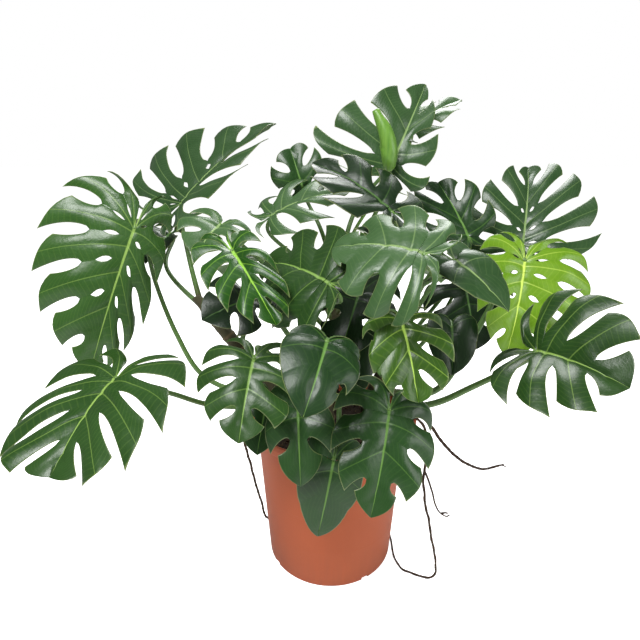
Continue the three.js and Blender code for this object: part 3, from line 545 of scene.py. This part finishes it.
def flat_place(leaf, side, s, out):
    """Where the vein s (0 notch, 1 tip) is at this fraction of the way out to the margin."""
    edge = outline_at(s)
    if edge.y < 0:
        edge.y *= leaf["base"]
    else:
        edge.x *= 1 - leaf["taper"] * edge.y
    rib = max(0, (s - FAN) / (1 - FAN)) ** 1.9
    bow = VEIN_BOW * (1 - s) * out * (1 - out)
    x = edge.x * leaf["half"][side] * out
    return x, (rib + (edge.y - rib) * out - bow) * leaf["length"] + 1.6 * s * leaf["sweep"][side < 0] * x


def opens_at(leaf, side, k):
    """The fraction of the way out at which the split between lobes k - 1 and k begins."""
    return 1 if k in (0, leaf["lobes"]) else leaf["opens"][side][k - 1]


def split_at(leaf, side, k, out):
    """Half the width of the split k here, and of the small hole that some have by the rib."""
    if k in (0, leaf["lobes"]):
        return 0
    start = opens_at(leaf, side, k)
    pitch = (leaf["bounds"][k + 1] - leaf["bounds"][k - 1]) / 2
    if out > start:
        tau = (out - start) / (1 - start)
        wide = leaf["gap"] * pitch * (1.15 - 0.5 * leaf["bounds"][k])
        return 0.5 * wide * (math.sqrt(tau) - 0.75 * tau ** 1.5) / 0.44
    near, far = 0.3 * start, 0.62 * start
    if leaf["holes"] and near < out < far and k < leaf["lobes"] - 1:
        return 0.09 * pitch * math.sqrt((out - near) * (far - out)) / (0.5 * (far - near))
    return 0


def bent(leaf, side, x, y, raised):
    """Bends the flat blade: each half rises from the rib and curls over, and the rib arches."""
    rise, curl = leaf["right"] if side > 0 else leaf["left"]
    start = math.radians(rise)
    rate = math.radians(curl or 0.01) / leaf["half"][side]
    slope = start - rate * abs(x)
    off_rib = min(1, abs(x) / RIB_FLAT)
    out = (math.sin(start) - math.sin(slope)) / rate - raised * off_rib * math.sin(slope)
    up = (math.cos(slope) - math.cos(start)) / rate + raised * (1 - off_rib * (1 - math.cos(slope)))
    turn = math.radians(leaf["bend"])
    tilt = turn * (0.5 - y / leaf["length"])
    along = leaf["length"] / turn * (math.sin(turn / 2) - math.sin(tilt))
    high = leaf["length"] / turn * (math.cos(tilt) - math.cos(turn / 2))
    return Vector((side * out, along - up * math.sin(tilt), high + up * math.cos(tilt)))


def blade_pose(leaf):
    """Turns the blade's own axes (across, along the rib, out of its face) into the plant's."""
    along = (Vector(leaf["tip"]) - Vector(leaf["junction"])).normalized()
    face = Vector(leaf["face"])
    face = (face - along * face.dot(along)).normalized()
    across = along.cross(face)
    return Matrix((across, along, face)).transposed()


def blade_sheet(leaf):
    """The upper face of a blade, with what its materials and its ridges need at each corner."""
    corners, faces, known = [], [], {}
    marks = {"rib": [], "vein": [], "margin": [], "ribs_between": [], "tone": [], "ridge": []}
    pose, origin = blade_pose(leaf), Vector(leaf["junction"])
    fractions = [(i / OUTWARD) ** 1.06 for i in range(OUTWARD + 1)]
    for side in (-1, 1):
        for lobe in range(leaf["lobes"]):
            last = lobe == leaf["lobes"] - 1
            seed = leaf["seed"] + lobe * 7 + (3 if side > 0 else 0)
            lift = 0 if last else leaf["ruffle"] * wobble(seed)
            longer = 1 + 0.25 * wobble(seed + 5000)
            grid = []
            for out in fractions:
                row = []
                low = leaf["bounds"][lobe] + split_at(leaf, side, lobe, out)
                high = leaf["bounds"][lobe + 1] - split_at(leaf, side, lobe + 1, out)
                middle = (leaf["bounds"][lobe] + leaf["bounds"][lobe + 1]) / 2
                low_open, high_open = opens_at(leaf, side, lobe), opens_at(leaf, side, lobe + 1)
                ends = [Vector(flat_place(leaf, side, s, out)) for s in (low, high)]
                wide = (ends[1] - ends[0]).length
                for across in ACROSS:
                    opens = low_open + (high_open - low_open) * across
                    beyond = max(0, (out - opens) / (1 - opens + 1e-9))
                    reach = (-0.14 * (1 - across) ** 3 + 0.07 * across ** 4) * longer
                    end, share = (low, across) if across < 0.5 else (high, 1 - across)
                    s = end + 2 * share * (middle - end)
                    x, y = flat_place(leaf, side, s, out + beyond * reach)
                    vein = abs(across - 0.5) * wide
                    rib_half = 0.5 + 1.5 * max(0, 1 - y / leaf["length"])
                    arch = leaf["arch"] * 4 * across * (1 - across) * out * (0.4 if last else 1)
                    waves = Vector((side * x / RIPPLE_LENGTH, y / RIPPLE_LENGTH, leaf["seed"]))
                    ripple = RIPPLE * noise.noise(waves) * min(1, 3 * out)
                    groove = VEIN_GROOVE * math.exp(-(vein / VEIN_GROOVE_WIDTH) ** 2) * (1 - out)
                    groove += RIB_GROOVE * math.exp(-(x / RIB_GROOVE_WIDTH) ** 2)
                    raised = arch + lift * beyond ** 2 + ripple - groove + 0.5
                    spot = bent(leaf, side, x, y, raised)
                    key = tuple(round(v * CORNERS_PER_MM) for v in spot)
                    if key not in known:
                        known[key] = len(corners)
                        corners.append(pose @ spot + origin)
                        to_edge = [(1 - out) * leaf["half"][side] * 0.9]
                        to_edge += [across * wide] if low > leaf["bounds"][lobe] else []
                        to_edge += [(1 - across) * wide] if high < leaf["bounds"][lobe + 1] else []
                        marks["rib"].append(x / rib_half + RIB_FADE * max(0, y / leaf["length"]) ** 2)
                        marks["vein"].append(9 if last else vein / (0.4 + 0.6 * (1 - out)))
                        marks["margin"].append(min(to_edge))
                        marks["ribs_between"].append(out * leaf["half"][side] + 0.55 * vein)
                        marks["tone"].append(0.5 + 0.5 * wobble(leaf["seed"] + 900))
                        rib_ridge = RIB_DEPTH * max(0, 1 - y / leaf["length"]) ** 1.3 if out == 0 else 0
                        vein_ridge = VEIN_DEPTH * (1 - out) if across == 0.5 else 0
                        marks["ridge"].append(THICKNESS + max(rib_ridge, vein_ridge))
                    row.append(known[key])
                grid.append(row)
            for inner, outer in zip(grid, grid[1:]):
                for k in range(len(ACROSS) - 1):
                    ring = [inner[k], outer[k], outer[k + 1], inner[k + 1]]
                    ring = list(dict.fromkeys(ring if side > 0 else reversed(ring)))
                    if len(ring) > 2:
                        faces.append(ring)
    return corners, faces, marks


# Cuticle of a living leaf: a thin wax over deep green cells, which gives a soft, pale sheen
# along the folds. The ribs are paler and smooth, and the margin is a thin cream line. Each
# row is the deep and the light green of the cells, and the colour of the ribs. New leaves are
# lime, olive or vivid and old ones grey. The darkest row is painted shade: greens darkened
# for the leaves deep in the crown, where shade falls.
GREENS = {
    "fresh": ("#132b0c", "#2b4c1b", "#7c9a48"),
    "middle": ("#10260b", "#244117", "#6f8f42"),
    "dark": ("#10280f", "#213f19", "#557a34"),
    # Painted shade: the darker greens of the leaves deep in the crown.
    "painted_shade": ("#0b1c0b", "#162c12", "#3f5f2a"),
    "grey": ("#1c3618", "#36522d", "#768f56"),
    "vivid": ("#0c2a05", "#1e480c", "#7fae38"),
    "lime": ("#46700c", "#72951e", "#b8cf5a"),
    "olive": ("#162e09", "#3c6016", "#98b94c"),
}
SMALL_VEINS = 9.0  # from one fine side vein to the next


def leaf_skin(name, deep, light, ribs):
    """The upper side's material for one row of greens: an age of leaf, or the painted shade of leaves deep in
    the crown.
    """
    skin, tree, shader, place = surface("waxy_leaf_" + name, IOR=1.45, Specular_IOR_Level=0.35,
                                 Coat_Weight=0.06, Coat_Roughness=0.2)
    rib, vein, margin, between, tone = (
        node(tree, "Attribute", {}, attribute_name=mark_name).outputs["Fac"]
        for mark_name in ("rib", "vein", "margin", "ribs_between", "tone"))
    patches = node(tree, "TexNoise", {"Vector": place, "Scale": per_metre(55), "Detail": 4.0,
                                      "Roughness": 0.6})
    cells = node(tree, "TexNoise", {"Vector": place, "Scale": per_metre(5), "Detail": 3.0})
    shade = node(tree, "Math", {0: patches, 1: tone}, operation="ADD")
    shade_half = node(tree, "MapRange", {"Value": shade, "From Min": 0.3, "From Max": 1.5})
    green = node(tree, "Mix", {0: shade_half, 6: linear(deep), 7: linear(light)})
    spaced = node(tree, "Math", {0: between, 1: SMALL_VEINS}, operation="MODULO")
    off = node(tree, "Math", {0: spaced, 1: SMALL_VEINS / 2}, operation="SUBTRACT")
    thin = node(tree, "Math", {0: off}, operation="ABSOLUTE")
    small = node(tree, "MapRange", {"Value": thin, "From Min": 0.2, "From Max": 1.1,
                                    "To Min": 0.07, "To Max": 0.0})
    veined = node(tree, "Mix", {0: small, 6: green, 7: linear(ribs)})
    side_vein = node(tree, "MapRange", {"Value": vein, "From Min": 0.5, "From Max": 1.5,
                                        "To Min": 0.4, "To Max": 0.0})
    with_veins = node(tree, "Mix", {0: side_vein, 6: veined, 7: linear(ribs)})
    midrib = node(tree, "MapRange", {"Value": rib, "From Min": 0.7, "From Max": 1.5,
                                     "To Min": 0.95, "To Max": 0.0})
    with_rib = node(tree, "Mix", {0: midrib, 6: with_veins, 7: linear(ribs)})
    rim = node(tree, "MapRange", {"Value": margin, "From Min": 0.3, "From Max": 1.2,
                                  "To Min": 0.5, "To Max": 0.0})
    with_rim = node(tree, "Mix", {0: rim, 6: with_rib, 7: linear("#7f8a55")})
    rough = node(tree, "MapRange", {"Value": patches, "From Min": 0.3, "From Max": 0.7,
                                    "To Min": 0.28, "To Max": 0.44})
    dull_rib = node(tree, "Math", {0: midrib, 1: 0.62}, operation="MULTIPLY")
    rough = node(tree, "Math", {0: rough, 1: dull_rib}, operation="MAXIMUM")
    height = node(tree, "Math", {0: cells, 1: small}, operation="SUBTRACT")
    bump = node(tree, "Bump", {"Height": height, "Strength": 0.3, "Distance": 0.0012})
    feed(tree, shader, {"Base Color": with_rim, "Roughness": rough, "Normal": bump})
    return skin


leaf_skins = {name: leaf_skin(name, *colours) for name, colours in GREENS.items()}

# Underside of the leaf: paler and without the wax, so it is matt, with the ribs standing out.
underside, tree, shader, place = surface("matt_leaf_underside", IOR=1.4)
patches = node(tree, "TexNoise", {"Vector": place, "Scale": per_metre(40), "Detail": 4.0})
rib, vein = (node(tree, "Attribute", {}, attribute_name=name).outputs["Fac"] for name in ("rib", "vein"))
green = node(tree, "Mix", {0: patches, 6: linear("#2e4a1e"), 7: linear("#4a6a32")})
nearest = node(tree, "Math", {0: rib, 1: vein}, operation="MINIMUM")
ridge = node(tree, "MapRange", {"Value": nearest, "From Min": 1.0, "From Max": 2.4,
                                "To Min": 0.8, "To Max": 0.0})
with_ribs = node(tree, "Mix", {0: ridge, 6: green, 7: linear("#738a4c")})
rough = node(tree, "MapRange", {"Value": patches, "To Min": 0.55, "To Max": 0.7})
feed(tree, shader, {"Base Color": with_ribs, "Roughness": rough})

leaves = [completed(row, index) for index, row in enumerate(LEAVES)]
THICKEST = THICKNESS + RIB_DEPTH
for leaf in leaves:
    corners, faces, marks = blade_sheet(leaf)
    whole = leaf["name"] + ("_leaf" if leaf["fused"] else "_blade")
    skins = [leaf_skins[leaf.get("shade", leaf["skin"])], underside]
    blade = piece("blade_" + leaf["name"], corners, faces, skins, "leaf_" + leaf["skin"], whole)
    for name in ("rib", "vein", "margin", "ribs_between", "tone"):
        mark(blade.data, name, marks[name])
    ridges = blade.vertex_groups.new(name="ridge")
    for depth in sorted(set(marks["ridge"])):
        ridges.add([i for i, d in enumerate(marks["ridge"]) if d == depth], depth / THICKEST, "REPLACE")
    body = blade.modifiers.new("thickness", "SOLIDIFY")
    body.thickness = THICKEST / 1000
    body.offset = -1
    body.vertex_group = "ridge"
    body.material_offset = 1
    body.material_offset_rim = 0
    blade.modifiers.new("flat_faces_lead", "WEIGHTED_NORMAL")

# ----------------------------------------------------------- stalks
# The leaf stalks: firm, round and smooth, stout and sheathed where they clasp the cane,
# and slimmer towards the blade, where a ribbed knuckle turns the blade to the light.
STALK_SIDES = 14
STALK_END = 1.5
KNUCKLE = 12


def cane_point(name, height):
    """The point of a cane's middle line at this height."""
    return min(cane_path(name, 60), key=lambda p: abs(p.z - height))


def stalk_path(leaf):
    """From inside its cane, out through the given points, to the back of the blade."""
    root = cane_point(leaf["cane"], leaf["height"])
    pose = blade_pose(leaf)
    along, face = pose @ Vector((0, 1, 0)), pose @ Vector((0, 0, 1))
    junction = Vector(leaf["junction"])
    knee = junction - face * leaf["knee"] - along * 0.6 * leaf["knee"]
    way = [Vector(p) for p in leaf["stalk"]]
    if not way:
        way = [root.lerp(knee, 0.5) + Vector((0, 0, leaf["spring"] * (knee - root).length))]
    return through([root, *way, knee, junction - face * STALK_END], 64)


# Skin of a stalk: fresh green with a thin wax, faintly mottled, with fine lines along it
# and a brown, papery foot where the sheath has dried.
stalk_skin, tree, shader, place = surface("waxy_stalk", IOR=1.45, Coat_Weight=0.1, Coat_Roughness=0.3)
mottle = node(tree, "TexNoise", {"Vector": place, "Scale": per_metre(6), "Detail": 4.0})
lines_place = node(tree, "Mapping", {"Vector": place, "Scale": (1, 1, 0.1)})
lines = node(tree, "TexNoise", {"Vector": lines_place, "Scale": per_metre(1.6), "Detail": 2.0})
up_stalk = node(tree, "Attribute", {}, attribute_name="up_stalk").outputs["Fac"]
dried = node(tree, "MapRange", {"Value": up_stalk, "From Min": 0.02, "From Max": 0.2,
                                "To Min": 0.85, "To Max": 0.0})
green = node(tree, "Mix", {0: mottle, 6: linear("#2c481c"), 7: linear("#587a36")})
footed = node(tree, "Mix", {0: dried, 6: green, 7: linear("#3c2f1c")})
knuckle = node(tree, "MapRange", {"Value": up_stalk, "From Min": 0.9, "From Max": 0.97,
                                  "To Min": 0.0, "To Max": 0.6})
knuckled = node(tree, "Mix", {0: knuckle, 6: footed, 7: linear("#5d7d34")})
rough = node(tree, "MapRange", {"Value": mottle, "To Min": 0.4, "To Max": 0.6})
bump = node(tree, "Bump", {"Height": lines, "Strength": 0.25, "Distance": 0.0008})
feed(tree, shader, {"Base Color": knuckled, "Roughness": rough, "Normal": bump})

for leaf in leaves:
    path = stalk_path(leaf)
    length = sum((b - a).length for a, b in zip(path, path[1:]))

    def stalk_radius(u, turn):
        """Stout and channelled at the foot, slim above, and thick again at the knuckle."""
        left = (1 - u) * length
        knot = 0.16 * math.exp(-((left - KNUCKLE) / 11) ** 2) * (1 + 0.14 * math.cos(left * 2.1))
        channel = 0.22 * max(0, 1 - 2.2 * u) * max(0, math.cos(turn)) ** 3
        return leaf["girth"] * (1.45 - 0.75 * math.sqrt(u)) * (1 + knot - channel)

    whole = leaf["name"] + ("_leaf" if leaf["fused"] else "_stalk")
    tube = swept(path, STALK_SIDES, stalk_radius)
    stalk = piece("stalk_" + leaf["name"], *tube, [stalk_skin], "stalk", whole)
    mark(stalk.data, "up_stalk", [i // STALK_SIDES / (len(path) - 1) for i in range(len(tube[0]))])

# ----------------------------------------------------------- new leaf
# The youngest leaf, still rolled up in a pointed roll on its slim stalk. It is soft, thin
# and bright, with the free edge of the blade winding round it.
NEW_LEAF_PATH = [(14, 72, 560), (36, 46, 640), (66, 20, 700), (85.5, -2, 744), (91, -24, 774), (84, -27, 812),
                 (66, -22, 850)]
ROLL_FROM = 0.7
ROLL_STALK = 3
ROLL_WIDEST = 11


def roll_radius(u, turn):
    """The stalk, then the roll, with a step where the outer layer ends."""
    along = max(0, (u - ROLL_FROM) / (1 - ROLL_FROM))
    wound = (turn / (2 * math.pi) + 1.4 * along) % 1
    bulge = math.sin(math.pi * (0.87 * along) ** 0.6)
    return ROLL_STALK + ROLL_WIDEST * bulge * (0.88 + 0.16 * wound)


# Young leaf: yellow green and almost translucent, with a soft gloss and fine lines along it.
young, tree, shader, place = surface("young_leaf", IOR=1.45, Coat_Weight=0.15, Coat_Roughness=0.25)
lines_place = node(tree, "Mapping", {"Vector": place, "Rotation": (0.2, 0.3, 0), "Scale": (1, 1, 0.08)})
lines = node(tree, "TexNoise", {"Vector": lines_place, "Scale": per_metre(4), "Detail": 3.0})
green = node(tree, "Mix", {0: lines, 6: linear("#38661c"), 7: linear("#6c9334")})
rough = node(tree, "MapRange", {"Value": lines, "To Min": 0.35, "To Max": 0.5})
bump = node(tree, "Bump", {"Height": lines, "Strength": 0.3, "Distance": 0.001})
feed(tree, shader, {"Base Color": green, "Roughness": rough, "Normal": bump})
piece("rolled_leaf", *swept(through(NEW_LEAF_PATH, 90), 32, roll_radius), [young], "leaf_new", "new_leaf")

# ----------------------------------------------------------- roots
# Aerial roots: thin, woody and kinked, grown from the canes over the rim of the pot. One
# hangs down to the left, one reaches out to the right, and one lies along the ground.
ROOTS = {
    "root_left": ("left", 362, 2.8, [
        (-136, 6, 367), (-160, -8, 352), (-172, -12, 318), (-176, -10, 292), (-153, -10, 162),
        (-136, -9, 75), (-134, 20, 40), (-129, 42, 14)]),
    "root_right": ("right", 330, 2.6, [
        (135, 26, 340), (178, 30, 320), (196, 24, 275), (235, 0, 225), (295, -10, 185), (355, 10, 180)]),
    "root_floor": ("right", 320, 2.6, [
        (125, -62, 345), (165, -78, 320), (172, -86, 250), (170, -90, 205), (200, -110, 40), (201, -107, 14),
        (192, -106, 3.2), (145, -84, 2.4), (130, -50, 2.2), (131, -10, 2.2), (127, 36, 2.2)]),
}
FORKS = {
    "root_right": [[(318, -4, 180), (332, -6, 188), (343, -8, 192), (353, -6, 186)]],
    "root_floor": [
        [(170, -88, 236), (186, -90, 194), (197, -92, 156), (206, -92, 143), (219, -90, 135),
         (224, -88, 137)],
        [(206, -92, 143), (214, -93, 146), (219, -92, 144)],
    ],
}
SWELLS = {"root_right": 0.4}
ROOT_STEPS = 110
ROOT_KINKS = 2.2
FORK_KINKS = 1.2
KINK_LENGTH = 22
ROOT_SEED = 3

# Woody root skin: dark brown and dry, wrinkled along its length, paler where it has flaked.
root_skin, tree, shader, place = surface("woody_root", Roughness=0.85, IOR=1.4)
patches = node(tree, "TexNoise", {"Vector": place, "Scale": per_metre(14), "Detail": 6.0})
wrinkles = node(tree, "TexNoise", {"Vector": place, "Scale": per_metre(2), "Detail": 4.0})
brown = node(tree, "Mix", {0: patches, 6: linear("#15100c"), 7: linear("#4e3a2b")})
bump = node(tree, "Bump", {"Height": wrinkles, "Strength": 0.6, "Distance": 0.0012})
feed(tree, shader, {"Base Color": brown, "Normal": bump})


def kinked(path, size, seed):
    """Shakes a path a little, and leaves both of its ends where they are."""
    last = len(path) - 1
    shaken = []
    for i, spot in enumerate(path):
        held = min(1, 6 * i / last, 6 * (1 - i / last))
        shaken.append(spot + size * held * noise.noise_vector(spot / KINK_LENGTH + Vector((seed, 0, 0))))
    return shaken


noise.seed_set(ROOT_SEED)  # unseeded, noise_vector starts from another place in each run
for seed, (name, (cane, height, girth, points)) in enumerate(ROOTS.items()):
    swell = SWELLS.get(name, 0)

    def root_radius(u, turn=0):
        """Slimmer towards the end, and thicker in the middle where the root swells."""
        return girth * (1.05 - 0.3 * u + swell * math.sin(math.pi * u))

    path = kinked(through([cane_point(cane, height), *points], ROOT_STEPS), ROOT_KINKS, seed)
    if name == "root_floor":
        path = [Vector((*p.xy, max(p.z, root_radius(i / ROOT_STEPS)))) for i, p in enumerate(path)]
    corners, faces = swept(path, 10, lambda u, turn: root_radius(u) * (1 + 0.1 * math.sin(u * 190)))
    for fork in FORKS.get(name, ()):
        line = kinked(through(fork, 40), FORK_KINKS, seed + 9)
        more, sides = swept(line, 8, lambda u, turn: 2.1 - 0.8 * u)
        start = len(corners)
        corners += more
        faces += [[start + i for i in side] for side in sides]
    piece(name + "_grown", corners, faces, [root_skin], "root", name)

# ----------------------------------------------------------- studio
# A plain white floor, lit from inside as a light table is so that it stays white, and large
# soft lights above and in front. The room is dim, and its far wall is white. Places and sizes
# are in metres here, and the lights' powers in watts.
ROOM_LIGHT = 0.2
FLOOR_GLOW = 0.1
FLOOR_SHOWS = 0.8
FLOOR_HALF = 30
floor_mesh = bpy.data.meshes.new("floor")
floor_mesh.from_pydata([(x * FLOOR_HALF, y * FLOOR_HALF, 0) for x, y in ((-1, -1), (1, -1), (1, 1), (-1, 1))],
                       [], [(0, 1, 2, 3)])
floor = bpy.data.objects.new("floor", floor_mesh)
scene.collection.objects.link(floor)
paper, tree, shader, place = surface("white_paper", Roughness=0.9, Emission_Color=(1, 1, 1, 1))
fibre = node(tree, "TexNoise", {"Vector": place, "Scale": per_metre(400), "Detail": 2.0})
white = node(tree, "Mix", {0: fibre, 6: linear("#f6f6f6"), 7: linear("#fafafa")})
seen = node(tree, "LightPath", {}).outputs["Is Camera Ray"]
glow = node(tree, "Math", {0: seen, 1: FLOOR_SHOWS, 2: FLOOR_GLOW}, operation="MULTIPLY_ADD")
feed(tree, shader, {"Base Color": white, "Emission Strength": glow})
floor_mesh.materials.append(paper)

world = bpy.data.worlds.new("studio")
scene.world = world
world.use_nodes = True
dim = world.node_tree.nodes["Background"]
dim.inputs["Color"].default_value = (1, 1, 1, 1)
dim.inputs["Strength"].default_value = ROOM_LIGHT
bright = node(world.node_tree, "Background", {"Color": (1, 1, 1, 1), "Strength": 1.0})
seen = node(world.node_tree, "LightPath", {}).outputs["Is Camera Ray"]
backdrop = node(world.node_tree, "MixShader", {0: seen, 1: dim, 2: bright})
feed(world.node_tree, world.node_tree.nodes["World Output"], {"Surface": backdrop})
scene.view_settings.view_transform = "Standard"


def softbox(name, spot, aim, size, power):
    """A square light that faces a point."""
    lamp = bpy.data.lights.new(name, "AREA")
    lamp.size = size
    lamp.energy = power
    made = bpy.data.objects.new(name, lamp)
    made.location = spot
    made.rotation_euler = (Vector(aim) - Vector(spot)).to_track_quat("-Z", "Y").to_euler()
    scene.collection.objects.link(made)


softbox("key", (-0.7, -1.3, 2.4), (0, 0, 0.45), 1.0, 86)
softbox("fill", (1.9, -1.3, 1.0), (0, 0, 0.35), 1.2, 24)
softbox("back", (0.5, 1.6, 2.4), (0, 0, 0.5), 1.4, 70)
